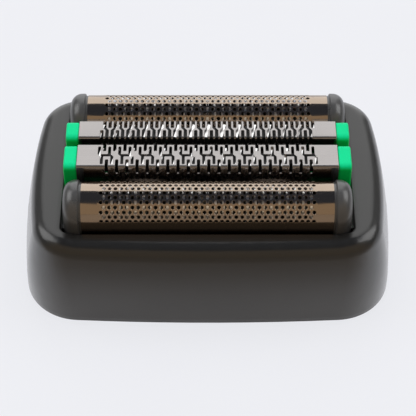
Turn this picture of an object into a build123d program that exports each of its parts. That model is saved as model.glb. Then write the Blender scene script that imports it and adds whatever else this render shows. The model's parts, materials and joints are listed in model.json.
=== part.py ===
from build123d import *

import os

# Shaver foil head: a moulded frame with two foils and two trimmers that float on springs.
# Millimetres, +Z up, X along the foils, front at -Y, origin at the middle of the bottom rim.

# Foils, arched perforated sheets
foil_length = 39.7
foil_radius = 3.75
foil_sheet = 0.25
foil_rise = 5.6
perforated_length = 33.6
hole_radius = 0.45
hole_pitch = 1.42
hole_rows = 5
hole_row_angle = 29.0

# Foil end caps and edge strips
foil_cap_width = 2.95
foil_cap_neck = 0.4
foil_cap_proud = 0.25
foil_cap_dome = 1.9
foil_cap_edge = 0.15
foil_cap_tongue = 1.0
strip_thickness = 0.8
strip_height = 2.0

# Cutter blades under the foils
blade_thickness = 0.4
blade_pitch = 1.25
blade_section = 0.9
blade_row_length = 33.2
blade_clearance = 0.2
carrier_width = 4.4
carrier_height = 2.1
carrier_end_margin = 0.6

# Trimmers
front_comb_width = 5.15
rear_comb_width = 4.05
comb_sheet = 0.35
comb_wall = 4.0
comb_rise = 5.7
comb_overhang = 1.03
slotted_length = 35.2
front_cell = 3.26
front_edge_slot = 0.48
front_inner_slot = 0.42
front_slot_reach = 1.62
front_edge_land = 0.62
front_slant = 0.42
middle_gap = 0.45
rear_fork_pitch = 1.27
rear_slot_width = 0.52
rear_slot_reach = 1.75
slot_drop = 1.55

# Trimmer blades and end caps
trimmer_cap_width = 2.1
trimmer_cap_head = 6.0
trimmer_cap_shoulder = 0.95
trimmer_cap_round = 0.3
trimmer_leg_width = 3.2
trimmer_blade_sheet = 0.3
trimmer_blade_pitch = 2.47
trimmer_blade_tooth = 0.47
trimmer_blade_lean = 12.0
trimmer_bar_width = 2.4
trimmer_bar_height = 1.8
stem_length = 5.2
stem_wall = 0.55

# Gaps between the elements, from front to rear
lip_gap = 0.35
foil_trimmer_gap = 0.95
trimmer_gap = 1.4
end_gap = 0.2

# Outer frame
arm_width = 5.15
lip_width = 3.95
lip_dip = 0.4
lip_dip_run = 3.0
frame_height = 17.2
end_taper = 2.3
front_taper = 0.6
taper_steps = 3
rim_corner = 9.2
top_corner = 6.1
frame_wall = 1.3
end_bow = 1.75
front_bow = 1.05
top_round = 2.4
mouth_round = 0.3
arm_roof = 1.9
opening_corner = 1.2
catch_length = 6.0
catch_height = 1.5
catch_depth = 0.6
catch_level = 10.3
latch_length = 8.0
latch_height = 1.6
latch_level = 2.0

# Inner carrier, drivers and springs
skirt_height = 5.0
carrier_plate = 1.4
plate_gap = 0.1
lug_length = 7.0
lug_height = 0.8
lug_reach = 0.9
rinse_length = 5.0
rinse_width = 3.0
rinse_middle = 11.0
driver_length = 10.0
driver_thickness = 1.6
post_length = 2.0
post_width = 1.2
post_engagement = 1.8
boss_radius = 2.4
socket_radius = 1.5
socket_depth = 3.0
boss_drop = 1.0
spring_radius = 0.85
wire_radius = 0.14
spring_turns = 6
spring_inset = 1.9
cup_wall = 0.7
cup_floor = 0.6
cup_drop = 1.0
pin_radius = 0.5
pin_length = 1.2
ledge_thickness = 1.4
ledge_width = 4.0
foot_height = 2.0
foot_width = 3.0
foot_tip_gap = 1.8

# Motion and clearances
float_travel = 2.0
stroke = 1.2
travel_clearance = 0.6
slide_clearance = 0.05
drive_clearance = 0.1
running_gap = 0.4
bearing_margin = 0.8
cut_over = 1.0

# Places along Y, worked out from the row of elements
row_depth = (
    2 * (lip_gap + 2 * foil_radius + foil_trimmer_gap)
    + front_comb_width + trimmer_gap + rear_comb_width
)
opening_half_depth = row_depth / 2
front_foil_y = -opening_half_depth + lip_gap + foil_radius
rear_foil_y = -front_foil_y
front_comb_y = front_foil_y + foil_radius + foil_trimmer_gap + front_comb_width / 2
rear_comb_y = rear_foil_y - foil_radius - foil_trimmer_gap - rear_comb_width / 2

# Places along X
foil_half = foil_length / 2
comb_half = foil_half + comb_overhang
foil_cap_end = foil_half + foil_cap_width
trimmer_cap_end = comb_half + trimmer_cap_width
opening_half_length = max(foil_cap_end, trimmer_cap_end) + end_gap
foot_end = opening_half_length + arm_width - frame_wall - foot_tip_gap
carrier_half = blade_row_length / 2 + carrier_end_margin
blade_half = slotted_length / 2 + carrier_end_margin / 2
ledge_inner = carrier_half - stroke - bearing_margin

# Heights
frame_half_length = opening_half_length + arm_width + end_taper
frame_half_depth = opening_half_depth + lip_width + front_taper
arm_underside = frame_height - arm_roof
foot_top = arm_underside - slide_clearance
foil_top = frame_height + foil_rise
foil_center = foil_top - foil_radius
comb_top = frame_height + comb_rise
plate_top = skirt_height + carrier_plate
driver_bottom = plate_top + slide_clearance
driver_top = driver_bottom + driver_thickness
carrier_bottom = driver_top + float_travel + travel_clearance
carrier_top = carrier_bottom + carrier_height
post_top = carrier_bottom + post_engagement
ledge_top = carrier_bottom - slide_clearance
ledge_bottom = ledge_top - ledge_thickness
strip_top = carrier_top - running_gap
strip_bottom = strip_top - strip_height
bar_top = comb_top - comb_sheet - slide_clearance - trimmer_blade_sheet
bar_bottom = bar_top - trimmer_bar_height
boss_bottom = skirt_height - boss_drop
cup_bottom = skirt_height - cup_drop
spring_seat = cup_bottom + cup_floor
cup_radius = spring_radius + wire_radius + drive_clearance


def block(x, y, z):
    """Box between three (low, high) pairs."""
    spans = (x, y, z)
    sizes = [high - low for low, high in spans]
    middles = [(high + low) / 2 for low, high in spans]
    return Pos(*middles) * Box(*sizes)


def both_sides(half):
    """(low, high) pair about zero."""
    return (-half, half)


def arch(radius, foot, x):
    """Half round on straight legs down to the height foot, along the (low, high) pair x."""
    outline = [
        Line((radius, foil_center), (radius, foot)),
        Line((radius, foot), (-radius, foot)),
        Line((-radius, foot), (-radius, foil_center)),
        ThreePointArc((-radius, foil_center), (0, foil_center + radius), (radius, foil_center)),
    ]
    return extrude(Plane.YZ.offset(x[0]) * make_face(outline), amount=x[1] - x[0])


def centred_row(count, pitch):
    """Even places along X about the middle."""
    return [(index - (count - 1) / 2) * pitch for index in range(count)]


def prism(points, z):
    """Upright prism over a flat outline between two heights."""
    return Pos(0, 0, z[0]) * extrude(make_face(Polyline(*points, close=True)), amount=z[1] - z[0])


# Foil group


def perforated_foil():
    """Arched sheet with rows of round holes set in turn."""
    x = both_sides(foil_half)
    bore = arch(foil_radius - foil_sheet, strip_bottom - cut_over, (x[0] - cut_over, x[1] + cut_over))
    columns = int(perforated_length / hole_pitch) + 1
    punch = Cylinder(hole_radius, 4 * foil_sheet)
    holes = []
    for row in range(hole_rows):
        angle = (row - (hole_rows - 1) / 2) * hole_row_angle
        count = columns - row % 2
        for place in centred_row(count, hole_pitch):
            holes.append(Pos(place, 0, foil_center) * Rot(X=angle) * Pos(0, 0, foil_radius) * punch)
    return arch(foil_radius, strip_bottom, x) - bore - holes


def foil_cap():
    """Domed cap at the right end of a foil, with its foot, its ledge and its spring pin."""
    neck_end = foil_half + foil_cap_neck
    head = arch(foil_radius + foil_cap_proud, ledge_bottom, (neck_end, foil_cap_end))
    rim = head.faces().sort_by(Axis.X)[-1].edges().filter_by(lambda edge: edge.center().Z > ledge_bottom)
    head = fillet(rim, foil_cap_dome)
    edge = head.faces().sort_by(Axis.X)[0].edges().filter_by(lambda edge: edge.center().Z > foil_center)
    head = chamfer(edge, foil_cap_edge)
    neck = arch(foil_radius - foil_sheet / 2, ledge_bottom, (foil_half, neck_end))
    tongue_radius = foil_radius - foil_sheet - slide_clearance
    tongue = arch(tongue_radius, strip_top + slide_clearance, (foil_half - foil_cap_tongue, foil_half))
    foot = block(
        (foil_cap_end - foil_cap_dome, foot_end),
        both_sides(foot_width / 2),
        (foot_top - foot_height, foot_top),
    )
    ledge = block((ledge_inner, foil_half), both_sides(ledge_width / 2), (ledge_bottom, ledge_top))
    return head + neck + tongue + foot + ledge + spring_pin(foil_half - spring_inset)


def spring_pin(x):
    """Pin under a ledge that centres the top of a spring."""
    overlap = ledge_thickness / 2
    middle = ledge_bottom + (overlap - pin_length) / 2
    return Pos(x, 0, middle) * Cylinder(pin_radius, pin_length + overlap)


def edge_strips():
    """Two strips that stiffen the lower edges of a foil."""
    outer = foil_radius - foil_sheet - slide_clearance
    span = (outer - strip_thickness, outer)
    strip = block(both_sides(foil_half - slide_clearance), span, (strip_bottom, strip_top))
    return Compound(children=[strip, mirror(strip, about=Plane.XZ)])


def cutter_blades():
    """Row of thin arched blades that stand on the cutter carrier."""
    outer = foil_radius - foil_sheet - blade_clearance
    x = both_sides(blade_thickness / 2)
    hollow = arch(outer - blade_section, carrier_top - cut_over, (x[0] - cut_over, x[1] + cut_over))
    blade = arch(outer, carrier_top, x) - hollow
    count = int(blade_row_length / blade_pitch) + 1
    return Compound(children=[Pos(place, 0, 0) * blade for place in centred_row(count, blade_pitch)])


def cutter_carrier():
    """Bar under the arched blades, with the slot that takes the driver's post."""
    outer = foil_radius - foil_sheet - blade_clearance
    bar = block(both_sides(carrier_half), both_sides(carrier_width / 2), (carrier_bottom, carrier_top))
    seat_height = min(carrier_height, running_gap)
    seat = block(
        both_sides(blade_row_length / 2),
        both_sides(outer),
        (carrier_top - seat_height + slide_clearance, carrier_top),
    )
    return bar + seat - post_slot(carrier_top + cut_over)


def post_slot(top):
    """Room for a driver post from below a carrier up to the height top."""
    return block(
        both_sides(post_length / 2 + drive_clearance),
        both_sides(post_width / 2 + running_gap),
        (carrier_bottom - cut_over, top),
    )


# Trimmer group


def comb_channel(width):
    """Plain steel channel, open below."""
    x = both_sides(comb_half)
    z = (comb_top - comb_wall, comb_top)
    inner = width / 2 - comb_sheet
    long_x = (x[0] - cut_over, x[1] + cut_over)
    hollow = block(long_x, both_sides(inner), (z[0] - cut_over, z[1] - comb_sheet))
    body = block(x, both_sides(width / 2), z)
    folds = body.edges().filter_by(Axis.X).group_by(Axis.Z)[-1]
    return fillet(folds, comb_sheet) - hollow


def edge_slot(place, slot_width, width, reach, side):
    """Slot across a fold of the channel, from the top over the edge and down the wall."""
    edge = width / 2
    y = sorted((side * (edge - reach), side * (edge + cut_over)))
    return block(
        (place - slot_width / 2, place + slot_width / 2),
        y,
        (comb_top - slot_drop, comb_top + cut_over),
    )


def slanted_slot(rear_x, front_x, slot_width, bend):
    """Outline points of a slot across the top that runs aslant between the heights bend and -bend."""
    half = slot_width / 2
    return [
        (rear_x - half, bend),
        (rear_x + half, bend),
        (front_x + half, -bend),
        (front_x - half, -bend),
    ]


def front_comb():
    """Channel with a winding pattern: edge slots, inner slots and slanted struts."""
    width = front_comb_width
    top = (comb_top - comb_sheet - cut_over, comb_top + cut_over)
    bend = middle_gap / 2
    shift = front_slant / 2
    slot_end = width / 2 - front_edge_land
    strut_width = front_cell / 2 - front_inner_slot
    cells = int((slotted_length + strut_width) / front_cell)
    cuts = []
    for side in (-1, 1):
        for place in centred_row(2 * cells - 1, front_cell / 2):
            cuts.append(edge_slot(place - side * shift, front_edge_slot, width, front_slot_reach, side))
    for middle in centred_row(cells, front_cell):
        cuts.append(prism(slanted_slot(middle - shift, middle + shift, front_cell / 2, bend), top))
        for place in (middle - front_cell / 4, middle + front_cell / 4):
            cuts.append(prism(slanted_slot(place - shift, place + shift, front_inner_slot, bend), top))
            for side in (-1, 1):
                x = place - side * shift
                y = sorted((side * bend, side * slot_end))
                cuts.append(block((x - front_inner_slot / 2, x + front_inner_slot / 2), y, top))
    return comb_channel(width) - cuts


def rear_comb():
    """Channel with forked teeth, open in turn to the front and the rear, and slanted slots between."""
    width = rear_comb_width
    top = (comb_top - comb_sheet - cut_over, comb_top + cut_over)
    bend = width / 2 - rear_slot_reach
    forks = 2 * round(slotted_length / (2 * rear_fork_pitch))
    places = centred_row(forks, rear_fork_pitch)
    cuts = []
    for index, place in enumerate(places):
        fork_side = 1 if index % 2 else -1
        cuts.append(edge_slot(place, rear_slot_width, width, rear_slot_reach, fork_side))
        if index + 1 == forks:
            continue
        middle = place + rear_fork_pitch / 2
        shift = fork_side * rear_fork_pitch / 6
        cuts.append(edge_slot(middle + shift, rear_slot_width, width, rear_slot_reach, 1))
        cuts.append(edge_slot(middle - shift, rear_slot_width, width, rear_slot_reach, -1))
        cuts.append(prism(slanted_slot(middle + shift, middle - shift, rear_slot_width, bend), top))
    return comb_channel(width) - cuts


def trimmer_cap(width):
    """Coloured cap at the right end of a trimmer, with its leg, foot, ledges and spring pin."""
    x = (comb_half, trimmer_cap_end)
    head = block(x, both_sides(width / 2), (comb_top - trimmer_cap_head, comb_top))
    head = fillet(head.edges().filter_by(Axis.X).group_by(Axis.Z)[-1], trimmer_cap_shoulder)
    for end in (0, -1):
        head = fillet(head.edges().group_by(Axis.X)[end], trimmer_cap_round)
    leg_half = trimmer_leg_width / 2
    leg = block(x, both_sides(leg_half), (ledge_bottom, comb_top - trimmer_cap_head / 2))
    tongue_half = width / 2 - comb_sheet - slide_clearance
    tongue = block(
        (comb_half - foil_cap_tongue, comb_half + trimmer_cap_round),
        both_sides(tongue_half),
        (comb_top - comb_wall, comb_top - comb_sheet - slide_clearance),
    )
    upper_ledge = block(
        (blade_half - stroke - bearing_margin, comb_half + trimmer_cap_round),
        both_sides(trimmer_bar_width / 2),
        (bar_bottom - slide_clearance - ledge_thickness, bar_bottom - slide_clearance),
    )
    lower_ledge = block(
        (comb_half - 2 * spring_inset, comb_half),
        both_sides(leg_half),
        (ledge_bottom, ledge_top),
    )
    foot_z = (foot_top - foot_height, foot_top)
    foot = block((trimmer_cap_end, foot_end), both_sides(foot_width / 2), foot_z)
    return head + leg + tongue + upper_ledge + lower_ledge + foot + spring_pin(comb_half - spring_inset)


def trimmer_blade(width):
    """Row of flat teeth that lie across the carrier bar and lean along it."""
    half_width = width / 2 - comb_sheet - running_gap / 2
    x = both_sides(trimmer_blade_tooth / 2)
    flat = block(x, both_sides(half_width), (bar_top, bar_top + trimmer_blade_sheet))
    tooth = Rot(0, 0, -trimmer_blade_lean) * flat
    count = int(slotted_length / trimmer_blade_pitch) + 1
    return Compound(children=[Pos(place, 0, 0) * tooth for place in centred_row(count, trimmer_blade_pitch)])


def trimmer_blade_carrier():
    """Bar under a trimmer blade, with a stem down to the driver."""
    bar = block(both_sides(blade_half), both_sides(trimmer_bar_width / 2), (bar_bottom, bar_top))
    stem_half = post_width / 2 + running_gap + stem_wall
    stem = block(both_sides(stem_length / 2), both_sides(stem_half), (carrier_bottom, bar_bottom))
    return bar + stem - post_slot(post_top + float_travel + travel_clearance)


# Drive, springs and frame


def driver(foil_y, comb_y):
    """Bridge with a post for each cutter above and a drive socket below."""
    low = min(foil_y, comb_y) - post_width
    high = max(foil_y, comb_y) + post_width
    middle = (foil_y + comb_y) / 2
    plate = block(both_sides(driver_length / 2), (low, high), (driver_bottom, driver_top))
    body = fillet(plate.edges().filter_by(Axis.Z), post_width / 2)
    for y in (foil_y, comb_y):
        span = (y - post_width / 2, y + post_width / 2)
        body += block(both_sides(post_length / 2), span, (driver_top, post_top))
    boss_height = driver_bottom - boss_bottom
    body += Pos(0, middle, boss_bottom + boss_height / 2) * Cylinder(boss_radius, boss_height)
    return body - Pos(0, middle, boss_bottom + socket_depth / 2) * Cylinder(socket_radius, socket_depth)


def spring_places():
    """Name, place along X and place along Y of each pair of float springs."""
    foil_x = foil_half - spring_inset
    comb_x = comb_half - spring_inset
    return [
        ("front_foil_springs", foil_x, front_foil_y),
        ("front_trimmer_springs", comb_x, front_comb_y),
        ("rear_trimmer_springs", comb_x, rear_comb_y),
        ("rear_foil_springs", foil_x, rear_foil_y),
    ]


def coil_spring():
    """Compression spring between a cup of the inner carrier and a ledge."""
    height = ledge_bottom - spring_seat - 2 * (wire_radius + slide_clearance)
    path = Helix(pitch=height / spring_turns, height=height, radius=spring_radius)
    wire = Plane(origin=path @ 0, z_dir=path % 0) * Circle(wire_radius)
    coil = sweep(wire, path=path, is_frenet=True)
    return Pos(0, 0, spring_seat + wire_radius + slide_clearance) * coil


def end_face(z):
    """Half length of the frame at a height: its ends curve inwards towards the top."""
    return frame_half_length - end_taper * (z / frame_height) ** 2


def front_face(z):
    """Half depth of the frame at a height."""
    return frame_half_depth - front_taper * (z / frame_height) ** 2


def frame_section(z, inset):
    """Outline of the frame at a height, moved inwards by inset: bowed sides and round corners."""
    corner = rim_corner + (top_corner - rim_corner) * z / frame_height - inset
    half_x = end_face(z) - inset
    half_y = front_face(z) - inset
    x = half_x - end_bow
    y = half_y - front_bow
    sides = make_face([
        ThreePointArc((-x, -y), (0, -half_y), (x, -y)),
        ThreePointArc((x, -y), (half_x, 0), (x, y)),
        ThreePointArc((x, y), (0, half_y), (-x, y)),
        ThreePointArc((-x, y), (-half_x, 0), (-x, -y)),
    ])
    return Pos(0, 0, z) * fillet(sides.vertices(), corner)


def frame_body(low, high, inset):
    """Solid inside the frame's curved sides between two heights, moved inwards by inset."""
    step = (high - low) / taper_steps
    return loft([frame_section(low + index * step, inset) for index in range(taper_steps + 1)])


def outer_frame():
    """Moulded shell with two broad side arms, front and rear lips and side catches."""
    body = frame_body(0, frame_height + cut_over, 0) & saddle()
    lip = frame_height - lip_dip
    upper = body.edges().filter_by(lambda edge: edge.center().Z > lip - cut_over / 2)
    body = fillet(upper.filter_by(Axis.Y, reverse=True), top_round)
    body -= frame_body(-cut_over, arm_underside, frame_wall)
    mouth = RectangleRounded(2 * opening_half_length, 2 * opening_half_depth, opening_corner)
    body -= Pos(0, 0, arm_underside - cut_over) * extrude(mouth, amount=arm_roof + 2 * cut_over)
    body = fillet(mouth_rim(body), mouth_round)
    for side in (-1, 1):
        body -= side_catch(side)
        body -= latch_groove(side)
        body += snap_lug(side)
    return body


def mouth_rim(body):
    """Upper edges of the opening that the cutting elements stand in."""
    lowest = frame_height - lip_dip - cut_over / 2

    def on_rim(edge):
        middle = edge.center()
        inside_x = abs(middle.X) < opening_half_length + slide_clearance
        inside_y = abs(middle.Y) < opening_half_depth + slide_clearance
        return middle.Z > lowest and inside_x and inside_y

    return body.edges().filter_by(on_rim)


def saddle():
    """Everything under the top of the frame: level arms, and a dip across the two lips."""
    low = frame_height - lip_dip
    inner = opening_half_length - lip_dip_run
    middle = opening_half_length - lip_dip_run / 2
    shoulder = opening_half_length
    outer = frame_half_length
    profile = make_face([
        Line((-inner, low), (inner, low)),
        Bezier((inner, low), (middle, low), (middle, frame_height), (shoulder, frame_height)),
        Line((shoulder, frame_height), (outer, frame_height)),
        Line((outer, frame_height), (outer, 0)),
        Line((outer, 0), (-outer, 0)),
        Line((-outer, 0), (-outer, frame_height)),
        Line((-outer, frame_height), (-shoulder, frame_height)),
        Bezier((-shoulder, frame_height), (-middle, frame_height), (-middle, low), (-inner, low)),
    ])
    return extrude(Plane.XZ * profile, amount=frame_half_depth, both=True)


def side_catch(side):
    """Shallow grip recess in the outer face of a side wall."""
    face = end_face(catch_level)
    x = sorted((side * (face - catch_depth), side * (face + cut_over)))
    z = (catch_level - catch_height / 2, catch_level + catch_height / 2)
    return block(x, both_sides(catch_length / 2), z)


def latch_groove(side):
    """Groove in the inner face of a side wall for the shaver's latch."""
    face = end_face(latch_level) - frame_wall
    x = sorted((side * (face - cut_over), side * (face + catch_depth)))
    z = (latch_level - latch_height / 2, latch_level + latch_height / 2)
    return block(x, both_sides(latch_length / 2), z)


def snap_lug(side):
    """Lug on the front or rear wall that holds the inner carrier up."""
    face = front_face(skirt_height) - frame_wall / 2
    y = sorted((side * (face - frame_wall / 2 - lug_reach), side * face))
    return block(both_sides(lug_length / 2), y, (skirt_height - lug_height, skirt_height))


def inner_carrier():
    """Plate across the frame with spring cups, driver windows and rinse windows."""
    edge = frame_section(plate_top, frame_wall + plate_gap)
    plate = extrude(edge, amount=carrier_plate, dir=(0, 0, -1))
    cup_height = plate_top - cup_bottom
    cup = Pos(0, 0, cup_bottom + cup_height / 2) * Cylinder(cup_radius + cup_wall, cup_height)
    pocket = Pos(0, 0, spring_seat + cup_height / 2) * Cylinder(cup_radius, cup_height)
    tall = (skirt_height - cut_over, plate_top + cut_over)
    for foil_y, comb_y in ((front_foil_y, front_comb_y), (rear_foil_y, rear_comb_y)):
        middle = (foil_y + comb_y) / 2
        half_x = boss_radius + stroke + running_gap
        half_y = boss_radius + running_gap
        plate -= block(both_sides(half_x), (middle - half_y, middle + half_y), tall)
        for side in (-1, 1):
            x = (side * rinse_middle - rinse_length / 2, side * rinse_middle + rinse_length / 2)
            plate -= block(x, (middle - rinse_width / 2, middle + rinse_width / 2), tall)
    for _, x, y in spring_places():
        for side in (-1, 1):
            plate = plate + Pos(side * x, y, 0) * cup - Pos(side * x, y, 0) * pocket
    return plate


def write(shape, name):
    """Write one piece to its own file."""
    export_step(shape, f"parts/{name}.step")


def write_pair(cap, name, y):
    """Write a right-hand end cap and its mirror image."""
    write(Pos(0, y, 0) * cap, f"{name}_right_cap")
    write(Pos(0, y, 0) * mirror(cap, about=Plane.YZ), f"{name}_left_cap")


os.makedirs("parts", exist_ok=True)

write(outer_frame(), "outer_frame")
write(inner_carrier(), "inner_carrier")

for end, y in (("front", front_foil_y), ("rear", rear_foil_y)):
    place = Pos(0, y, 0)
    write(place * perforated_foil(), f"{end}_foil")
    write_pair(foil_cap(), f"{end}_foil", y)
    write(place * edge_strips(), f"{end}_foil_edge_strips")
    write(place * cutter_blades(), f"{end}_cutter_blades")
    write(place * cutter_carrier(), f"{end}_cutter_carrier")

for end, y, width, comb in (
    ("front", front_comb_y, front_comb_width, front_comb()),
    ("rear", rear_comb_y, rear_comb_width, rear_comb()),
):
    place = Pos(0, y, 0)
    write(place * comb, f"{end}_trimmer_comb")
    write_pair(trimmer_cap(width), f"{end}_trimmer", y)
    write(place * trimmer_blade(width), f"{end}_trimmer_blade")
    write(place * trimmer_blade_carrier(), f"{end}_trimmer_blade_carrier")

write(driver(front_foil_y, front_comb_y), "front_driver")
write(driver(rear_foil_y, rear_comb_y), "rear_driver")

coil = coil_spring()
for name, x, y in spring_places():
    write(Compound(children=[Pos(x, y, 0) * coil, Pos(-x, y, 0) * coil]), name)
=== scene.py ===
"""Shaver foil head: the finish of every piece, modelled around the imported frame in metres."""

import json
import math

import bmesh
import bpy
from bpy.props import FloatProperty, FloatVectorProperty, IntProperty, PointerProperty
from mathutils import Matrix, Vector


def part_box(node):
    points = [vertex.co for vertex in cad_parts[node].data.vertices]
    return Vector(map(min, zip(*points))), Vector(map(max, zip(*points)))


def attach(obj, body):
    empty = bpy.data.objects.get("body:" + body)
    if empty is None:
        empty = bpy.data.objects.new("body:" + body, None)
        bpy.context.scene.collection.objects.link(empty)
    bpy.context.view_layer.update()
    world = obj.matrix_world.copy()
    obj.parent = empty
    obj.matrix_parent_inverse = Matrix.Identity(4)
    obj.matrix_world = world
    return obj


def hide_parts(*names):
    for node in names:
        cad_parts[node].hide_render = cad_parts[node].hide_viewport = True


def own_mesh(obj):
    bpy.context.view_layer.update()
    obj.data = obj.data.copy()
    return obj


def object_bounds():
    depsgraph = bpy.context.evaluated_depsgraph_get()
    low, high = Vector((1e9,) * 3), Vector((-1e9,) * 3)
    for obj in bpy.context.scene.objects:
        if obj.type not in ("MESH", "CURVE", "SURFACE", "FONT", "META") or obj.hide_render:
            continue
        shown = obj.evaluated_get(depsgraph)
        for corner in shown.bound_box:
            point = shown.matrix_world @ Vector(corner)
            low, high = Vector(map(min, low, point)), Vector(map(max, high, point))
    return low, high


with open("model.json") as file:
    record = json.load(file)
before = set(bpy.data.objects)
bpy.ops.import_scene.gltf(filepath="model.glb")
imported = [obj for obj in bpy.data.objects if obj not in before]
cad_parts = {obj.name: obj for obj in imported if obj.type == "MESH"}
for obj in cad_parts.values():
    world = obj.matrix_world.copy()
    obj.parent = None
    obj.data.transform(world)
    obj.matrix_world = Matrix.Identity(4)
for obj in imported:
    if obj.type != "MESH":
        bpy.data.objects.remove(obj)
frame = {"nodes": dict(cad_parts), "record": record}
CAD_BOX = [list(corner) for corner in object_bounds()]

bl_info = {
    "name": "Shaver Foil Head",
    "version": (1, 0, 0),
    "blender": (4, 5, 0),
    "location": "3D View > Sidebar > Foil Head",
    "description": "Models the foils, combs, caps and finishes of a shaver foil head around its frame",
    "category": "Object",
}

MM = 0.001
ENDS = ("front", "rear")
SIDES = ("left", "right")

# How finely the meshes are made
CELL_CORNERS = 12
LAND_STRIPS = 32
FOLD_STEPS = 4
CORNER_STEPS = 3
EDGE_STEPS = 2
WIRE_SIDES = 10
TURN_STEPS = 24
BEVEL_SAMPLES = 8

# Share of a cell that stays plain beside the outermost holes
PLAIN_SHARE = 0.17

# What counts as the same place, as lying on a cut, and as a corner or an edge
BORDER_TOLERANCE = 1e-7
CUT_TOLERANCE = 1e-9
CORNER_ANGLE = math.radians(45.0)
EDGE_ANGLE = math.radians(40.0)

# Height over which the frame goes from its painted light at the bottom to its own tone, and the radius that
# its folds blend over
PAINTED_LIGHT_HEIGHT = 13.0 * MM
FOLD_BLEND = 1.5 * MM

# Half widths of the soft borders in the room: in radians at the ceiling, as a cosine at the window
CEILING_BLEND = 0.03
WINDOW_BLEND = 0.07

# Cosines of the turn from the back at which the front wall ends and the side wall begins
FRONT_WALL_END = -0.7
SIDE_WALL_START = -0.2

# Keeps the division sound straight overhead
LEVEL_LEAST = 0.0001

# Gap under the object, and how many times the floor's edge lies where its shade is full
FLOOR_GAP = 0.02 * MM
FULL_SHADE = 1.8

# Where the floor's plain picture fades in mirrors, as shares of the object's front,
# and what is left of it beyond
FADE_END = 1.3
FADE_START = 0.6
FADE_LEFT = 0.15

# Nearest distance that the camera shows
CAMERA_CLIP = 10.0 * MM


def length(name, description, millimetres):
    """A length property, given in millimetres."""
    return FloatProperty(
        name=name, description=description, default=millimetres * MM,
        min=0.0, precision=5, subtype="DISTANCE", unit="LENGTH",
    )


def angle(name, description, degrees):
    """An angle property, given in degrees."""
    return FloatProperty(
        name=name, description=description, default=math.radians(degrees),
        subtype="ANGLE", unit="ROTATION",
    )


def colour(name, description, red, green, blue):
    """A colour property, in linear light."""
    return FloatVectorProperty(
        name=name, description=description, default=(red, green, blue),
        min=0.0, max=1.0, size=3, subtype="COLOR",
    )


def strength(name, description, value):
    """A brightness or power property."""
    return FloatProperty(name=name, description=description, default=value, min=0.0)


class FoilSizes(bpy.types.PropertyGroup):
    """Sizes of the perforated foils."""

    hole_pitch: length("Hole Pitch", "Distance between holes along a row", 0.9)
    hole_diameter: length("Hole Diameter", "Width of one hole", 0.62)
    row_pitch: length("Row Pitch", "Distance between rows, measured round the arch", 0.805)
    rows_each_side: IntProperty(
        name="Rows Each Side", description="Rows of holes on each side of the top row", default=7, min=1,
    )
    long_row: IntProperty(
        name="Holes In A Long Row", description="Holes in every second row", default=38, min=2,
    )
    rim_width: length("Rim Width", "Width of the rounded rim round a hole", 0.02)
    rim_drop: length("Rim Drop", "How far the rim falls towards the hole", 0.02)
    sheet: length("Sheet", "Thickness of the steel", 0.12)


class CombSizes(bpy.types.PropertyGroup):
    """Sizes of the slotted trimmer combs."""

    sheet: length("Sheet", "Thickness of the steel", 0.3)
    fold_round: length("Fold Round", "Outer radius of the two long folds", 0.35)
    corner_round: length("Corner Round", "Radius of the corners of the slots", 0.13)
    edge_round: length("Edge Round", "Radius of the edges of the slots", 0.05)
    slot_drop: length("Slot Drop", "How far a slot runs down a side wall", 1.55)
    front_cells: IntProperty(
        name="Front Cells", description="Repeats of the winding pattern", default=11, min=1,
    )
    front_cell: length("Front Cell", "Length of one repeat of the winding pattern", 3.26)
    front_edge_slot: length("Front Edge Slot", "Width of a slot that opens at an edge", 0.48)
    front_inner_slot: length("Front Inner Slot", "Width of a slot that ends short of the edges", 0.42)
    front_reach: length("Front Slot Reach", "Length of an edge slot across the top", 1.62)
    front_land: length("Front Edge Land", "Steel left between an inner slot and the edge", 0.62)
    front_gap: length("Front Middle Gap", "Gap between the two rows of loops", 0.45)
    front_slant: length("Front Slant", "How far a strut leans along the comb", 0.42)
    rear_forks: IntProperty(
        name="Rear Forks", description="Number of forked teeth", default=28, min=2,
    )
    rear_pitch: length("Rear Fork Pitch", "Distance between forked teeth", 1.27)
    rear_slot: length("Rear Slot", "Width of the slots", 0.52)
    rear_reach: length("Rear Slot Reach", "Length of a fork's slot across the top", 1.75)


class SpringSizes(bpy.types.PropertyGroup):
    """Sizes of the float springs."""

    coil_radius: length("Coil Radius", "From the spring's axis to the middle of the wire", 0.85)
    wire_radius: length("Wire Radius", "Half the thickness of the wire", 0.14)
    float_travel: length("Float Travel", "How far a cutting element presses its springs down", 2.0)
    turns: IntProperty(name="Turns", description="Number of turns of a spring", default=6, min=1)


class FinishColours(bpy.types.PropertyGroup):
    """Colours of the plastics and metals."""

    frame_black: colour("Frame Black", "Satin black of the moulded frame", 0.01, 0.0099, 0.0097)
    # Painted light: a paler black painted on the frame towards its bottom
    frame_painted_light: colour("Frame Painted Light", "Paler black of the frame near its rim", 0.042, 0.0415, 0.041)
    cap_black: colour("Cap Black", "Satin black of the foil end caps", 0.05, 0.0505, 0.052)
    carrier_grey: colour("Carrier Grey", "Dark grey of the inner carrier", 0.055, 0.057, 0.06)
    # Painted light: the trimmer caps are painted paler green on faces that point up than on their sides
    cap_green: colour("Cap Green", "Green of the trimmer end caps, from the side", 0.0, 0.5, 0.09)
    cap_green_painted_light: colour("Cap Green Painted Light", "Paler green of the trimmer end caps, from above", 0.0, 0.64, 0.27)
    bar_black: colour("Bar Black", "Black of the bars under the cutters", 0.012, 0.012, 0.012)
    driver_white: colour("Driver White", "Natural acetal of the drivers", 0.66, 0.65, 0.61)
    foil_steel: colour("Foil Steel", "Warm tint of the foils", 0.39, 0.315, 0.25)
    comb_steel: colour("Comb Steel", "Satin steel of the combs", 0.36, 0.342, 0.336)
    blade_steel: colour("Blade Steel", "Ground steel of the cutters", 0.95, 0.94, 0.93)
    spring_steel: colour("Spring Steel", "Drawn wire of the springs", 0.62, 0.60, 0.57)


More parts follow.
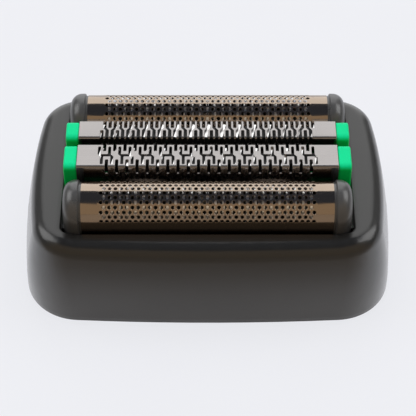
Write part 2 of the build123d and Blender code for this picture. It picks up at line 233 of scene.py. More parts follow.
class StageSettings(bpy.types.PropertyGroup):
    """Camera, floor and light."""

    elevation: angle("Camera Elevation", "Height of the camera above the horizon", 47.21)
    distance: length("Camera Distance", "From the camera to the point that it looks at", 248.4)
    look_height: length("Look Height", "Height of the point that the camera looks at", 7.541)
    lens: FloatProperty(name="Lens", description="Focal length in millimetres", default=127.41, min=1.0)
    shift: FloatProperty(name="Shift", description="Sideways shift of the picture", default=0.0012)
    floor_colour: colour("Floor Colour", "Pale floor", 0.84, 0.85, 0.89)
    floor_shade: colour("Floor Shade", "Floor in front of the object, in the shade", 0.30, 0.235, 0.165)
    floor_edge: length("Floor Edge", "How far in front of the object the floor goes into shade", 20.0)
    floor_glow: FloatProperty(
        name="Floor Glow", description="Share of the floor's picture that is plain and takes no shadow",
        default=0.85, min=0.0, max=1.0,
    )
    floor_mirror: FloatProperty(
        name="Floor Mirror", description="The same share beside the object, for the floor as metal shows it",
        default=0.9, min=0.0, max=1.0,
    )
    floor_size: length("Floor Size", "Width of the floor", 6000.0)
    back_window: strength("Back Window", "Brightness of the wide window behind the object", 1.45)
    window_half: angle("Window Half Width", "Half of the width of the window, seen from the object", 30.0)
    side_wall: strength("Side Wall", "Brightness of the room beside the object", 0.22)
    front_wall: strength("Front Wall", "Brightness of the room in front of the object", 0.45)
    front_paint: colour("Front Paint", "Warm paint of the front wall", 1.0, 0.78, 0.55)
    ceiling: strength("Ceiling", "Brightness of the room overhead", 0.08)
    ceiling_paint: colour("Ceiling Paint", "Cool paint of the ceiling", 0.6, 0.72, 1.0)
    wall_top: angle("Wall Top", "Height of the walls, seen from the object", 57.75)
    wall_slope: angle("Wall Slope", "How much higher the back wall is than the sides", 2.75)
    softbox_power: strength("Softbox Power", "Power of each side softbox, in watts", 1.5)
    softbox_size: length("Softbox Size", "Width of each side softbox", 440.0)
    softbox_distance: length("Softbox Distance", "From the object to each side softbox", 650.0)
    softbox_azimuth: angle("Softbox Azimuth", "Turn of the softboxes from the front of the object", 100.0)
    softbox_elevation: angle("Softbox Elevation", "Height of the softboxes above the horizon", 45.0)
    fill_power: strength("Fill Power", "Power of the scrim overhead, in watts", 4.0)
    fill_size: length("Fill Size", "Width of the scrim overhead", 800.0)
    fill_height: length("Fill Height", "Height of the scrim overhead", 900.0)


class Wire:
    """A shader socket that can be used in sums and products."""

    def __init__(self, nodes, socket):
        self.nodes = nodes
        self.socket = socket

    def math(self, operation, first, second):
        return self.nodes.add("ShaderNodeMath", {"operation": operation}, {0: first, 1: second})

    def __add__(self, other):
        return self.math("ADD", self, other)

    def __radd__(self, other):
        return self.math("ADD", other, self)

    def __sub__(self, other):
        return self.math("SUBTRACT", self, other)

    def __rsub__(self, other):
        return self.math("SUBTRACT", other, self)

    def __mul__(self, other):
        return self.math("MULTIPLY", self, other)

    def __truediv__(self, other):
        return self.math("DIVIDE", self, other)


class Nodes:
    """The nodes of one material or of the world."""

    def __init__(self, tree):
        self.tree = tree
        tree.nodes.clear()

    def add(self, kind, settings, sockets, output=0):
        """Adds a node: its settings first, then the values or links of its sockets."""
        node = self.tree.nodes.new(kind)
        for key, value in settings.items():
            setattr(node, key, value)
        for key, value in sockets.items():
            if isinstance(value, Wire):
                self.tree.links.new(value.socket, node.inputs[key])
            else:
                node.inputs[key].default_value = value
        return Wire(self, node.outputs[output]) if node.outputs else None

    def place(self, scale=(1.0, 1.0, 1.0)):
        """Object coordinates, stretched by scale."""
        coordinates = self.add("ShaderNodeTexCoord", {}, {}, "Object")
        return self.add("ShaderNodeMapping", {}, {"Vector": coordinates, "Scale": scale})

    def noise(self, per_metre, detail, stretch=(1.0, 1.0, 1.0)):
        """Cloudy values about one half, with so many features in a metre."""
        return self.add("ShaderNodeTexNoise", {}, {
            "Vector": self.place(stretch), "Scale": per_metre, "Detail": detail,
        })

    def steps(self, value, low, high, to_low=0.0, to_high=1.0):
        """A smooth step from to_low to to_high as value goes from low to high."""
        return self.add("ShaderNodeMapRange", {"interpolation_type": "SMOOTHSTEP"}, {
            "Value": value, "From Min": low, "From Max": high, "To Min": to_low, "To Max": to_high,
        })

    def mix(self, factor, first, second):
        """A colour between two others."""
        settings = {"data_type": "RGBA"}
        return self.add("ShaderNodeMix", settings, {0: factor, 6: first, 7: second}, 2)

    def blended_normal(self, radius):
        """The surface normal, blended over folds within a radius."""
        return self.add("ShaderNodeBevel", {"samples": BEVEL_SAMPLES}, {"Radius": radius})

    def bump(self, height, depth, normal=None):
        """A normal from a height between 0 and 1 that stands for depth metres."""
        sockets = {"Strength": 1.0, "Distance": depth, "Height": height}
        if normal:
            sockets["Normal"] = normal
        return self.add("ShaderNodeBump", {}, sockets)

    def surface(self, sockets):
        """Ends a material with a Principled shader."""
        shader = self.add("ShaderNodeBsdfPrincipled", {}, sockets)
        self.add("ShaderNodeOutputMaterial", {}, {"Surface": shader})


def shade(base, factor=1.0):
    """A colour made lighter or darker, with its alpha."""
    return tuple(min(1.0, part * factor) for part in base) + (1.0,)


def grey(level):
    """A neutral colour, with its alpha."""
    return (level, level, level, 1.0)


def uneven(middle, *marks):
    """A value about a middle, which each noise raises and lowers by half its spread."""
    for noise, spread in marks:
        middle = middle + (noise - 0.5) * spread
    return middle


def new_material(name):
    """A material and its empty nodes."""
    material = bpy.data.materials.new(name)
    material.use_nodes = True
    return material, Nodes(material.node_tree)


def mould_marks(nodes):
    """Flow marks, fine grain and rubbed patches of a moulded plastic."""
    flow = nodes.noise(per_metre=90.0, detail=3.0, stretch=(1.0, 2.2, 1.0))
    grain = nodes.noise(per_metre=5200.0, detail=2.0)
    patches = nodes.noise(per_metre=420.0, detail=4.0)
    return flow, grain, patches


def moulded_plastic(name, base, roughness, grain_depth, sheen=1.0):
    """Moulded plastic: a fine eroded grain, soft flow marks and a slightly uneven gloss."""
    material, nodes = new_material(name)
    flow, grain, patches = mould_marks(nodes)
    nodes.surface({
        "Base Color": nodes.mix(flow * 0.6 + grain * 0.4, shade(base, 0.84), shade(base, 1.16)),
        "Roughness": uneven(roughness, (patches, 0.12), (flow, 0.08)),
        "Specular IOR Level": 0.5 * sheen,
        "Normal": nodes.bump(grain, grain_depth),
    })
    return material


def frame_plastic(base, painted_light):
    """Satin frame plastic with painted light, paler towards its bottom, with soft folds and a fine grain."""
    material, nodes = new_material("frame_plastic")
    flow, grain, patches = mould_marks(nodes)
    height = nodes.add("ShaderNodeSeparateXYZ", {}, {"Vector": nodes.place()}, "Z")
    # Painted light: the frame is painted paler towards its bottom, fading out over the given height
    tone = nodes.mix(nodes.steps(height, 0.0, PAINTED_LIGHT_HEIGHT), shade(painted_light), shade(base))
    nodes.surface({
        "Base Color": nodes.mix(flow * 0.4 + grain * 0.3, tone, shade(base, 0.8)),
        "Roughness": uneven(0.36, (patches, 0.1), (flow, 0.06)),
        "Specular IOR Level": 0.2,
        "Coat Weight": 1.0,
        "Coat Roughness": 0.22,
        "Normal": nodes.bump(grain, 0.003 * MM, nodes.blended_normal(FOLD_BLEND)),
    })
    return material


def green_plastic(side, top):
    """Clear green plastic with painted light, paler on faces that point up, with faint drag lines from the
    mould.
    """
    material, nodes = new_material("green_plastic")
    flow = nodes.noise(per_metre=160.0, detail=3.0)
    drag = nodes.noise(per_metre=900.0, detail=2.0, stretch=(1.0, 0.12, 0.12))
    grain = nodes.noise(per_metre=4200.0, detail=2.0)
    # Painted light: faces that point up are painted paler green, whatever light falls on them
    normal = nodes.add("ShaderNodeNewGeometry", {}, {}, "Normal")
    upwards = nodes.add("ShaderNodeSeparateXYZ", {}, {"Vector": normal}, "Z")
    depth = nodes.mix(nodes.steps(upwards, 0.1, 0.95), shade(side), shade(top))
    nodes.surface({
        "Base Color": nodes.mix((flow * 0.5 + drag * 0.5 - 0.35) * 0.3, depth, shade(side, 0.7)),
        "Roughness": uneven(0.34, (drag, 0.14)),
        "Specular IOR Level": 0.1,
        "Normal": nodes.bump(grain * 0.6 + drag * 0.4, 0.004 * MM),
    })
    return material


def rolled_steel(name, base, roughness, line_depth, stain):
    """Rolled sheet steel: fine lines along the sheet and a faint uneven tint."""
    material, nodes = new_material(name)
    lines = nodes.noise(per_metre=2600.0, detail=3.0, stretch=(0.04, 1.0, 1.0))
    cloud = nodes.noise(per_metre=240.0, detail=3.0)
    nodes.surface({
        "Base Color": nodes.mix(cloud * stain + lines * 0.3, shade(base, 1.06), shade(base, 0.86)),
        "Metallic": 1.0,
        "Roughness": uneven(roughness, (lines, 0.1), (cloud, 0.06)),
        "Normal": nodes.bump(lines, line_depth),
    })
    return material


def ground_steel(name, base, roughness):
    """Ground blade steel: short scratches across the blade and bright flats."""
    material, nodes = new_material(name)
    scratches = nodes.noise(per_metre=2600.0, detail=2.0, stretch=(1.0, 0.3, 0.3))
    cloud = nodes.noise(per_metre=500.0, detail=2.0)
    nodes.surface({
        "Base Color": nodes.mix(cloud, shade(base, 1.05), shade(base, 0.9)),
        "Metallic": 1.0,
        "Roughness": uneven(roughness, (scratches, 0.12)),
        "Normal": nodes.bump(scratches, 0.07 * MM),
    })
    return material


def drawn_wire(base):
    """Drawn spring wire: fine draw marks and a dull oxide."""
    material, nodes = new_material("spring_steel")
    marks = nodes.noise(per_metre=3800.0, detail=3.0)
    nodes.surface({
        "Base Color": nodes.mix(marks, shade(base, 1.1), shade(base, 0.75)),
        "Metallic": 1.0,
        "Roughness": uneven(0.32, (marks, 0.2)),
        "Normal": nodes.bump(marks, 0.002 * MM),
    })
    return material


def finish_nodes(material, names):
    """Gives CAD nodes their material."""
    for name in names:
        for slot in frame["nodes"][name].material_slots:
            slot.material = material


def body_of(node):
    """The CAD body that a node belongs to."""
    bodies = frame["record"]["behaviour"]["bodies"]
    return next(body for body, members in bodies.items() if node in members)


def add_piece(name, bm, material, node):
    """Turns a bmesh in metres into a piece that stands for a CAD node and rides on its body."""
    mesh = bpy.data.meshes.new(name)
    bm.to_mesh(mesh)
    bm.free()
    mesh.materials.append(material)
    mesh.shade_smooth()
    piece = bpy.data.objects.new(name, mesh)
    bpy.context.scene.collection.objects.link(piece)
    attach(piece, body_of(node))
    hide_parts(node)
    return piece


def round_edges(piece, width):
    """Rounds every sharp edge of a piece."""
    bevel = piece.modifiers.new("edge_round", "BEVEL")
    bevel.width = width
    bevel.segments = EDGE_STEPS
    bevel.limit_method = "ANGLE"
    bevel.angle_limit = EDGE_ANGLE
    bevel.harden_normals = True


def clamp(value):
    """A value held between -1 and 1."""
    return max(-1.0, min(1.0, value))


def extrude_ring(bm, edges):
    """Extrudes edges in place and returns the new verts and the new edges beside the old ones."""
    made = bmesh.ops.extrude_edge_only(bm, edges=edges)["geom"]
    verts = {part for part in made if isinstance(part, bmesh.types.BMVert)}
    edges = [part for part in made if isinstance(part, bmesh.types.BMEdge) and verts.issuperset(part.verts)]
    return verts, edges


def crease(edges):
    """Keeps the shading of two faces apart along edges."""
    for edge in edges:
        edge.smooth = False


def to_hexagon(co, sizes):
    """The point on the border of a hexagonal cell in the direction of co."""
    sixth = math.pi / 3
    turn = math.atan2(co.y, co.x)
    reach = sizes.hole_pitch / 2 / math.cos((turn + sixth / 2) % sixth - sixth / 2)
    stretch = sizes.row_pitch / (sizes.hole_pitch * math.cos(math.pi / 6))
    return Vector((reach * math.cos(turn), reach * math.sin(turn) * stretch, 0.0))


def hexagon_cell(sizes, with_hole):
    """One hexagon of flat sheet about the origin, with or without a hole that has a rounded rim."""
    bm = bmesh.new()
    hole = sizes.hole_diameter / 2
    verts = bmesh.ops.create_circle(bm, cap_ends=not with_hole, segments=CELL_CORNERS, radius=hole)["verts"]
    if with_hole:
        bmesh.ops.translate(bm, verts=verts, vec=(0.0, 0.0, -sizes.rim_drop))
        verts, edges = extrude_ring(bm, bm.edges[:])
        for vert in verts:
            vert.co = Vector((vert.co.x, vert.co.y, 0.0)) * ((hole + sizes.rim_width) / hole)
        crease(edges)
        verts, edges = extrude_ring(bm, edges)
    for vert in verts:
        vert.co = to_hexagon(vert.co, sizes)
    return bm


def add_cells(sheet, sizes, with_hole, count, x, y):
    """Adds a row of cells to a sheet, with its first cell at (x, y)."""
    cell = hexagon_cell(sizes, with_hole)
    bmesh.ops.translate(cell, verts=cell.verts[:], vec=(x, y, 0.0))
    bmesh.ops.spin(
        cell, geom=cell.verts[:] + cell.edges[:] + cell.faces[:], cent=(0.0, 0.0, 0.0), axis=(0.0, 0.0, 1.0),
        dvec=(sizes.hole_pitch, 0.0, 0.0), angle=0.0, steps=count - 1, use_duplicate=True,
    )
    row = bpy.data.meshes.new("row")
    cell.to_mesh(row)
    cell.free()
    sheet.from_mesh(row)
    bpy.data.meshes.remove(row)


def trim(bm, point, outwards):
    """Cuts off everything beyond a plane."""
    bmesh.ops.bisect_plane(
        bm, geom=bm.verts[:] + bm.edges[:] + bm.faces[:], dist=CUT_TOLERANCE,
        plane_co=point, plane_no=outwards, clear_outer=True,
    )


def extend_border(bm, axis, place, target):
    """Extrudes the border that lies on a plane out to another plane."""
    border = [
        edge for edge in bm.edges
        if edge.is_boundary and all(abs(vert.co[axis] - place) < BORDER_TOLERANCE for vert in edge.verts)
    ]
    for vert in extrude_ring(bm, border)[0]:
        vert.co[axis] = target


def wrap_arch(vert, radius, crown, middle):
    """Bends a flat point round an arch: its y runs round the outside, its z is height above the sheet."""
    quarter = radius * math.pi / 2
    turn = clamp(vert.co.y / quarter) * math.pi / 2
    leg = max(0.0, abs(vert.co.y) - quarter)
    reach = radius + vert.co.z
    vert.co.y = middle + reach * math.sin(turn)
    vert.co.z = crown - radius + reach * math.cos(turn) - leg


def perforated_foil(sizes, node):
    """An arched sheet with staggered rows of round holes, a plain land at each end and plain legs."""
    low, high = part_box(node)
    radius = (high.y - low.y) / 2
    pitch = sizes.hole_pitch
    last = sizes.rows_each_side + 1
    bm = bmesh.new()
    for row in range(-last, last + 1):
        y = row * sizes.row_pitch
        count = sizes.long_row if row % 2 else sizes.long_row - 1
        first = -(count - 1) / 2 * pitch
        if abs(row) == last:
            add_cells(bm, sizes, False, count + 2, first - pitch, y)
        else:
            add_cells(bm, sizes, True, count, first, y)
            add_cells(bm, sizes, False, 1, first - pitch, y)
            add_cells(bm, sizes, False, 1, -first + pitch, y)
    bmesh.ops.remove_doubles(bm, verts=bm.verts[:], dist=BORDER_TOLERANCE)
    side = (sizes.long_row / 2 + PLAIN_SHARE) * pitch
    edge = (last - PLAIN_SHARE) * sizes.row_pitch
    for sign in (-1.0, 1.0):
        trim(bm, (sign * side, 0.0, 0.0), (sign, 0.0, 0.0))
        trim(bm, (0.0, sign * edge, 0.0), (0.0, sign, 0.0))
    for sign, end in ((-1.0, low.x), (1.0, high.x)):
        extend_border(bm, 0, sign * side, end)
    leg = radius * math.pi / 2 + (high.z - radius) - low.z
    for sign in (-1.0, 1.0):
        extend_border(bm, 1, sign * edge, sign * leg)
    cut_lands(bm, side, edge)
    for vert in bm.verts:
        wrap_arch(vert, radius, high.z, (low.y + high.y) / 2)
    bmesh.ops.recalc_face_normals(bm, faces=bm.faces[:])
    crease(edge for edge in bm.edges if edge.is_boundary)
    return bm


def cut_lands(bm, side, edge):
    """Cuts the plain lands into narrow strips, so that they bend smoothly."""
    for index in range(1, 2 * LAND_STRIPS):
        y = edge * (index / LAND_STRIPS - 1)
        faces = [face for face in bm.faces if abs(face.calc_center_median().x) > side]
        geom = set(faces)
        for face in faces:
            geom.update(face.edges)
            geom.update(face.verts)
        bmesh.ops.bisect_plane(
            bm, geom=list(geom), dist=CUT_TOLERANCE, plane_co=(0.0, y, 0.0), plane_no=(0.0, 1.0, 0.0),
        )


def centred_row(count, pitch):
    """Even places about zero."""
    return [(index - (count - 1) / 2) * pitch for index in range(count)]


def distinct(values):
    """Sorted places with near copies left out."""
    ordered = sorted(values)
    return ordered[:1] + [b for a, b in zip(ordered, ordered[1:]) if b - a > BORDER_TOLERANCE]


def slotted_sheet(x_places, side_places, in_slot):
    """A flat grid on places along X and on each side of the middle, without the faces that lie in a slot."""
    x_lines = distinct(x_places)
    y_lines = distinct(side_places + [-y for y in side_places])
    columns = len(x_lines) - 1
    rows = len(y_lines) - 1
    bm = bmesh.new()
    bmesh.ops.create_grid(bm, x_segments=columns, y_segments=rows, size=1.0)
    for vert in bm.verts:
        column = round((vert.co.x + 1.0) / 2.0 * columns)
        row = round((vert.co.y + 1.0) / 2.0 * rows)
        vert.co = (x_lines[column], y_lines[row], 0.0)
    slots = [face for face in bm.faces if in_slot(*face.calc_center_median().xy)]
    bmesh.ops.delete(bm, geom=slots, context="FACES")
    return bm


class Channel:
    """The folded section of a comb, measured from its node."""

    def __init__(self, sizes, node):
        low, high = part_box(node)
        self.sizes = sizes
        self.half_length = high.x
        self.half_width = (high.y - low.y) / 2
        self.middle = (low.y + high.y) / 2
        self.top = high.z
        self.flat = self.half_width - sizes.fold_round
        self.wall_start = self.flat + sizes.fold_round * math.pi / 2
        self.slot_end = self.wall_start + sizes.slot_drop - sizes.fold_round
        self.foot = self.wall_start + high.z - low.z - sizes.fold_round

    def fold_lines(self):
        """Places across the flat sheet where it bends and where its slots end, on one side."""
        arc = self.wall_start - self.flat
        bends = [self.flat + arc * step / FOLD_STEPS for step in range(FOLD_STEPS + 1)]
        return bends + [self.slot_end, self.foot]

    def fold(self, vert):
        """Bends a flat point over the nearer fold: its y runs across the sheet, its z is height above it."""
        side = math.copysign(1.0, vert.co.y)
        across = abs(vert.co.y)
        radius = self.sizes.fold_round
        turn = max(0.0, min(across - self.flat, self.wall_start - self.flat)) / radius
        reach = radius + vert.co.z
        drop = max(0.0, across - self.wall_start)
        vert.co.y = self.middle + side * (min(across, self.flat) + reach * math.sin(turn))
        vert.co.z = self.top - radius + reach * math.cos(turn) - drop

    def solid(self, bm):
        """Gives a slotted sheet its thickness, rounds the corners of its slots and folds it."""
        bmesh.ops.recalc_face_normals(bm, faces=bm.faces[:])
        if bm.faces[0].normal.z < 0.0:
            bmesh.ops.reverse_faces(bm, faces=bm.faces[:])
        bmesh.ops.solidify(bm, geom=bm.faces[:], thickness=self.sizes.sheet)
        highest = max(vert.co.z for vert in bm.verts)
        bmesh.ops.translate(bm, verts=bm.verts[:], vec=(0.0, 0.0, -highest))
        corners = [edge for edge in bm.edges if self.is_corner(edge)]
        bmesh.ops.bevel(
            bm, geom=corners, offset=self.sizes.corner_round, offset_type="OFFSET",
            segments=CORNER_STEPS, profile=0.5, affect="EDGES", material=-1, clamp_overlap=True,
        )
        for vert in bm.verts:
            self.fold(vert)
        bmesh.ops.recalc_face_normals(bm, faces=bm.faces[:])
        return bm

    def is_corner(self, edge):
        """Whether an edge runs through the sheet at a corner of a slot."""
        first, second = (vert.co for vert in edge.verts)
        upright = (first.xy - second.xy).length < BORDER_TOLERANCE
        inside = abs(first.x) < self.half_length - self.sizes.corner_round
        return upright and inside and edge.is_manifold and edge.calc_face_angle() > CORNER_ANGLE


def winding_comb(sizes, node):
    """A channel with a winding pattern: edge slots, inner slots and slanted struts."""
    channel = Channel(sizes, node)
    half_edge = sizes.front_edge_slot / 2
    half_inner = sizes.front_inner_slot / 2
    quarter = sizes.front_cell / 4
    bend = sizes.front_gap / 2
    reach = channel.half_width - sizes.front_reach
    inner_end = channel.half_width - sizes.front_land
    middles = centred_row(sizes.front_cells, sizes.front_cell)
    edge_slots = centred_row(2 * sizes.front_cells - 1, sizes.front_cell / 2)
    inner_slots = [middle + side * quarter for middle in middles for side in (-1, 1)]
    x_lines = [-channel.half_length, channel.half_length]
    x_lines += [place + side * half_edge for place in edge_slots for side in (-1, 1)]
    x_lines += [place + side * half_inner for place in inner_slots for side in (-1, 1)]
    side_lines = [bend, reach, inner_end] + channel.fold_lines()

    def near(x, places, reach_x):
        return any(abs(x - place) < reach_x for place in places)

    def in_slot(x, y):
        across = abs(y)
        if reach < across < channel.slot_end and near(x, edge_slots, half_edge):
            return True
        if across < inner_end and near(x, inner_slots, half_inner):
            return True
        return across < bend and near(x, middles, quarter)

    bm = slotted_sheet(x_lines, side_lines, in_slot)
    for vert in bm.verts:
        if abs(vert.co.x) < channel.half_length - BORDER_TOLERANCE:
            vert.co.x -= sizes.front_slant / 2 * clamp(vert.co.y / bend)
    return channel.solid(bm)


def forked_comb(sizes, node):
    """A channel with forked teeth, open in turn to the front and the rear, and slanted slots between."""
    channel = Channel(sizes, node)
    pitch = sizes.rear_pitch
    half_slot = sizes.rear_slot / 2
    bend = channel.half_width - sizes.rear_reach
    half_tooth = pitch / 2 - half_slot
    flare = pitch / 6
    half_fork = half_slot * half_tooth / (half_tooth + flare)
    places = centred_row(sizes.rear_forks, pitch)
    last = sizes.rear_forks - 1
    x_lines = [-channel.half_length, channel.half_length]
    for place in places:
        x_lines += [place - half_tooth, place - half_fork, place + half_fork, place + half_tooth]
    side_lines = [bend] + channel.fold_lines()

    def tooth_at(x):
        return max(0, min(last, round(x / pitch + last / 2)))

    def open_side(tooth):
        return 1.0 if tooth % 2 else -1.0

    def in_slot(x, y):
        tooth = tooth_at(x)
        offset = abs(x - places[tooth])
        if abs(y) > channel.slot_end or abs(x) > places[-1] + half_tooth:
            return False
        return offset > half_tooth or (offset < half_fork and y * open_side(tooth) > bend)

    bm = slotted_sheet(x_lines, side_lines, in_slot)
    for vert in bm.verts:
        tooth = tooth_at(vert.co.x)
        offset = vert.co.x - places[tooth]
        if abs(offset) < half_tooth + BORDER_TOLERANCE:
            spread = open_side(tooth) * clamp(vert.co.y / bend) * flare
            vert.co.x += offset / half_tooth * spread
    return channel.solid(bm)


class FOILHEAD_OT_foils(bpy.types.Operator):
    """Models the two perforated foils"""

    bl_idname = "foil_head.foils"
    bl_label = "Foils"

    def execute(self, context):
        sizes = context.scene.foil_sizes
        colours = context.scene.finish_colours
        steel = rolled_steel(
            "foil_steel", colours.foil_steel, roughness=0.13, line_depth=0.0006 * MM, stain=0.4,
        )
        for end in ENDS:
            node = f"{end}_foil"
            sheet = perforated_foil(sizes, node)
            piece = add_piece(f"{end}_perforated_foil", sheet, steel, node)
            solid = piece.modifiers.new("sheet", "SOLIDIFY")
            solid.thickness = sizes.sheet
            solid.offset = -1.0
        return {"FINISHED"}


class FOILHEAD_OT_combs(bpy.types.Operator):
    """Models the two slotted trimmer combs"""

    bl_idname = "foil_head.combs"
    bl_label = "Trimmer Combs"

    def execute(self, context):
        sizes = context.scene.comb_sizes
        colours = context.scene.finish_colours
        steel = rolled_steel(
            "comb_steel", colours.comb_steel, roughness=0.18, line_depth=0.0008 * MM, stain=0.3,
        )
        for name, node, model in (
            ("front_winding_comb", "front_trimmer_comb", winding_comb),
            ("rear_forked_comb", "rear_trimmer_comb", forked_comb),
        ):
            piece = add_piece(name, model(sizes, node), steel, node)
            round_edges(piece, sizes.edge_round)
        return {"FINISHED"}


class FOILHEAD_OT_frame(bpy.types.Operator):
    """Finishes the moulded frame and the inner carrier"""

    bl_idname = "foil_head.frame"
    bl_label = "Frame"

    def execute(self, context):
        colours = context.scene.finish_colours
        finish_nodes(frame_plastic(colours.frame_black, colours.frame_painted_light), ["outer_frame"])
        carrier = moulded_plastic(
            "carrier_plastic", colours.carrier_grey, roughness=0.4, grain_depth=0.004 * MM,
        )
        finish_nodes(carrier, ["inner_carrier"])
        bars = moulded_plastic("bar_plastic", colours.bar_black, roughness=0.5, grain_depth=0.003 * MM)
        for end in ENDS:
            finish_nodes(bars, [f"{end}_cutter_carrier", f"{end}_trimmer_blade_carrier"])
        return {"FINISHED"}


class FOILHEAD_OT_caps(bpy.types.Operator):
    """Finishes the end caps of the foils and trimmers"""

    bl_idname = "foil_head.caps"
    bl_label = "End Caps"

    def execute(self, context):
        colours = context.scene.finish_colours
        black = moulded_plastic(
            "cap_plastic", colours.cap_black, roughness=0.3, grain_depth=0.002 * MM, sheen=1.5,
        )
        green = green_plastic(colours.cap_green, colours.cap_green_painted_light)
        for end in ENDS:
            finish_nodes(black, [f"{end}_foil_{side}_cap" for side in SIDES])
            finish_nodes(green, [f"{end}_trimmer_{side}_cap" for side in SIDES])
        return {"FINISHED"}


def coil_spring(sizes, bottom, height):
    """A wire wound upwards round the Z axis, with closed ends."""
    bm = bmesh.new()
    bmesh.ops.create_circle(bm, segments=WIRE_SIDES, radius=sizes.wire_radius)
    upright = Matrix.Rotation(math.pi / 2, 3, "X")
    bmesh.ops.rotate(bm, verts=bm.verts[:], cent=(0.0, 0.0, 0.0), matrix=upright)
    bmesh.ops.translate(bm, verts=bm.verts[:], vec=(sizes.coil_radius, 0.0, bottom + sizes.wire_radius))
    steps = sizes.turns * TURN_STEPS
    rise = (height - 2 * sizes.wire_radius) / steps
    bmesh.ops.spin(
        bm, geom=bm.verts[:] + bm.edges[:], cent=(0.0, 0.0, 0.0), axis=(0.0, 0.0, 1.0),
        dvec=(0.0, 0.0, rise), angle=sizes.turns * 2 * math.pi, steps=steps,
    )
    bmesh.ops.holes_fill(bm, edges=[edge for edge in bm.edges if edge.is_boundary], sides=WIRE_SIDES)
    bmesh.ops.recalc_face_normals(bm, faces=bm.faces[:])
    return bm


def spring_pair(sizes, node):
    """Two equal springs, one near each end of a cutting element."""
    low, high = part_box(node)
    bm = coil_spring(sizes, low.z, high.z - low.z)
    reach = (high.x - low.x) / 2 - sizes.coil_radius - sizes.wire_radius
    bmesh.ops.translate(bm, verts=bm.verts[:], vec=(-reach, (low.y + high.y) / 2, 0.0))
    copy = bmesh.ops.duplicate(bm, geom=bm.verts[:] + bm.edges[:] + bm.faces[:])["geom"]
    verts = [item for item in copy if isinstance(item, bmesh.types.BMVert)]
    bmesh.ops.translate(bm, verts=verts, vec=(2 * reach, 0.0, 0.0))
    return bm


class FOILHEAD_OT_springs(bpy.types.Operator):
    """Models the float springs"""

    bl_idname = "foil_head.springs"
    bl_label = "Float Springs"

    def execute(self, context):
        sizes = context.scene.spring_sizes
        wire = drawn_wire(context.scene.finish_colours.spring_steel)
        for end in ENDS:
            for kind in ("foil", "trimmer"):
                node = f"{end}_{kind}_springs"
                coils = spring_pair(sizes, node)
                piece = add_piece(f"{end}_{kind}_coils", coils, wire, node)
                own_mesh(piece)
        return {"FINISHED"}


class FOILHEAD_OT_cutters(bpy.types.Operator):
    """Finishes the cutters, edge strips and drivers"""

    bl_idname = "foil_head.cutters"
    bl_label = "Cutters and Drive"

    def execute(self, context):
        colours = context.scene.finish_colours
        blades = ground_steel("blade_steel", colours.blade_steel, roughness=0.3)
        strips = rolled_steel(
            "strip_steel", colours.comb_steel, roughness=0.34, line_depth=0.001 * MM, stain=0.4,
        )
        drivers = moulded_plastic(
            "driver_plastic", colours.driver_white, roughness=0.38, grain_depth=0.003 * MM,
        )
        for end in ENDS:
            finish_nodes(blades, [f"{end}_cutter_blades", f"{end}_trimmer_blade"])
            finish_nodes(strips, [f"{end}_foil_edge_strips"])
            finish_nodes(drivers, [f"{end}_driver"])
        return {"FINISHED"}


def studio_room(settings):
    """Lights the world as a studio: a bright window behind, dim walls and a dark ceiling."""
    world = bpy.data.worlds.new("studio_room")
    world.use_nodes = True
    bpy.context.scene.world = world
    nodes = Nodes(world.node_tree)
    direction = nodes.add("ShaderNodeTexCoord", {}, {}, "Generated")
    parts = [nodes.add("ShaderNodeSeparateXYZ", {}, {"Vector": direction}, axis) for axis in "XYZ"]
    square = parts[0] * parts[0] + parts[1] * parts[1]
    level = nodes.add("ShaderNodeMath", {"operation": "SQRT"}, {0: square})
    facing = parts[1] / (level + LEVEL_LEAST)
    height = nodes.add("ShaderNodeMath", {"operation": "ARCTAN2"}, {0: parts[2], 1: level})
    above = height - facing * settings.wall_slope - settings.wall_top
    overhead = nodes.steps(above, -CEILING_BLEND, CEILING_BLEND)
    beside = nodes.steps(facing, FRONT_WALL_END, SIDE_WALL_START)
    wall = nodes.mix(beside, shade(settings.front_paint, settings.front_wall), grey(settings.side_wall))
    edge = math.cos(settings.window_half)
    window = nodes.steps(facing, edge - WINDOW_BLEND, edge + WINDOW_BLEND)
    wall = nodes.mix(window, wall, grey(settings.back_window))
    room = nodes.mix(overhead, wall, shade(settings.ceiling_paint, settings.ceiling))
    light = nodes.add("ShaderNodeBackground", {}, {"Color": room, "Strength": 1.0})
    nodes.add("ShaderNodeOutputWorld", {}, {"Surface": light})


def aim(thing, place, target):
    """Puts a lamp or camera at a place and turns it towards a target."""
    thing.location = place
    thing.rotation_euler = (Vector(target) - Vector(place)).to_track_quat("-Z", "Y").to_euler()
    bpy.context.scene.collection.objects.link(thing)


def seen_from(azimuth, elevation, distance, target):
    """A place at a distance from a target. Azimuth 0 is in front of the object."""
    level = math.cos(elevation)
    offset = Vector((math.sin(azimuth) * level, -math.cos(azimuth) * level, math.sin(elevation)))
    return target + offset * distance


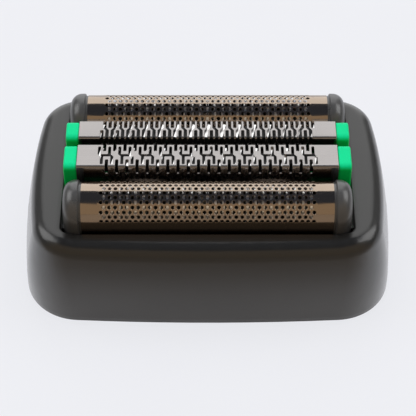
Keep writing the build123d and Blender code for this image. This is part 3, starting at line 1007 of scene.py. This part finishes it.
class FOILHEAD_OT_stage(bpy.types.Operator):
    """Sets the floor, the light and the camera"""

    bl_idname = "foil_head.stage"
    bl_label = "Stage"

    def execute(self, context):
        settings = context.scene.stage_settings
        self.lay_floor(settings)
        studio_room(settings)
        target = Vector((0.0, 0.0, settings.look_height))
        for side, turn in (("left", -1.0), ("right", 1.0)):
            lamp = bpy.data.lights.new(f"{side}_softbox", "AREA")
            lamp.energy = settings.softbox_power
            lamp.size = settings.softbox_size
            azimuth = turn * settings.softbox_azimuth
            place = seen_from(azimuth, settings.softbox_elevation, settings.softbox_distance, target)
            aim(bpy.data.objects.new(lamp.name, lamp), place, target)
        scrim = bpy.data.lights.new("overhead_scrim", "AREA")
        scrim.energy = settings.fill_power
        scrim.size = settings.fill_size
        fill = bpy.data.objects.new(scrim.name, scrim)
        fill.visible_glossy = False
        aim(fill, target + Vector((0.0, 0.0, settings.fill_height)), target)
        lens = bpy.data.cameras.new("photo_camera")
        lens.lens = settings.lens
        lens.shift_x = settings.shift
        lens.clip_start = CAMERA_CLIP
        camera = bpy.data.objects.new(lens.name, lens)
        aim(camera, seen_from(0.0, settings.elevation, settings.distance, target), target)
        context.scene.camera = camera
        context.scene.view_settings.view_transform = "Standard"
        return {"FINISHED"}

    def lay_floor(self, settings):
        """Lays a pale floor with a faint mottle under the object."""
        bm = bmesh.new()
        bmesh.ops.create_grid(bm, x_segments=1, y_segments=1, size=settings.floor_size / 2)
        bmesh.ops.translate(bm, verts=bm.verts[:], vec=(0.0, 0.0, CAD_BOX[0][2] - FLOOR_GAP))
        mesh = bpy.data.meshes.new("floor")
        bm.to_mesh(mesh)
        bm.free()
        material, nodes = new_material("floor_paper")
        mottle = nodes.noise(per_metre=30.0, detail=2.0)
        base = settings.floor_colour
        kinds = ("Is Camera Ray", "Is Glossy Ray", "Is Transmission Ray")
        camera, glossy, clear = (nodes.add("ShaderNodeLightPath", {}, {}, kind) for kind in kinds)
        depth = nodes.add("ShaderNodeSeparateXYZ", {}, {"Vector": nodes.place()}, "Y")
        fade = nodes.steps(depth * -1.0, settings.floor_edge, settings.floor_edge * FULL_SHADE)
        shaded = fade * (1.0 - camera)
        pale = nodes.mix(mottle, shade(base, 0.99), shade(base, 1.01))
        tone = nodes.mix(shaded, pale, shade(settings.floor_shade))
        paper = nodes.add("ShaderNodeBsdfPrincipled", {}, {
            "Base Color": tone,
            "Roughness": 0.9,
            "Specular IOR Level": 0.1,
        })
        plain = nodes.add("ShaderNodeEmission", {}, {"Color": pale, "Strength": 1.0})
        front = CAD_BOX[0][1]
        beside = nodes.steps(depth, front * FADE_END, front * FADE_START, FADE_LEFT, 1.0)
        mirrored = (glossy + clear) * beside * settings.floor_mirror
        direct = camera * settings.floor_glow
        seen = nodes.add("ShaderNodeMath", {"operation": "MAXIMUM"}, {0: direct, 1: mirrored})
        picture = nodes.add("ShaderNodeMixShader", {}, {0: seen, 1: paper, 2: plain})
        nodes.add("ShaderNodeOutputMaterial", {}, {"Surface": picture})
        mesh.materials.append(material)
        floor = bpy.data.objects.new("floor", mesh)
        bpy.context.scene.collection.objects.link(floor)


class FOILHEAD_PT_panel(bpy.types.Panel):
    """Lists the steps that make the foil head"""

    bl_idname = "FOILHEAD_PT_panel"
    bl_label = "Foil Head"
    bl_space_type = "VIEW_3D"
    bl_region_type = "UI"
    bl_category = "Foil Head"

    def draw(self, context):
        for step in STEPS:
            self.layout.operator(step.bl_idname)
        for group in SETTINGS:
            settings = getattr(context.scene, group)
            box = self.layout.box()
            for name in settings.bl_rna.properties.keys():
                if name not in {"rna_type", "name"}:
                    box.prop(settings, name)


SETTINGS = {
    "foil_sizes": FoilSizes,
    "comb_sizes": CombSizes,
    "spring_sizes": SpringSizes,
    "finish_colours": FinishColours,
    "stage_settings": StageSettings,
}
STEPS = (
    FOILHEAD_OT_frame,
    FOILHEAD_OT_foils,
    FOILHEAD_OT_combs,
    FOILHEAD_OT_caps,
    FOILHEAD_OT_cutters,
    FOILHEAD_OT_springs,
    FOILHEAD_OT_stage,
)
CLASSES = tuple(SETTINGS.values()) + STEPS + (FOILHEAD_PT_panel,)


def register():
    for cls in CLASSES:
        bpy.utils.register_class(cls)
    for name, group in SETTINGS.items():
        setattr(bpy.types.Scene, name, PointerProperty(type=group))


def unregister():
    for name in SETTINGS:
        delattr(bpy.types.Scene, name)
    for cls in reversed(CLASSES):
        bpy.utils.unregister_class(cls)


def main():
    """Runs every step."""
    register()
    bpy.ops.foil_head.frame()
    bpy.ops.foil_head.foils()
    bpy.ops.foil_head.combs()
    bpy.ops.foil_head.caps()
    bpy.ops.foil_head.cutters()
    bpy.ops.foil_head.springs()
    bpy.ops.foil_head.stage()
    bpy.context.view_layer.update()


if __name__ == "__main__":
    main()
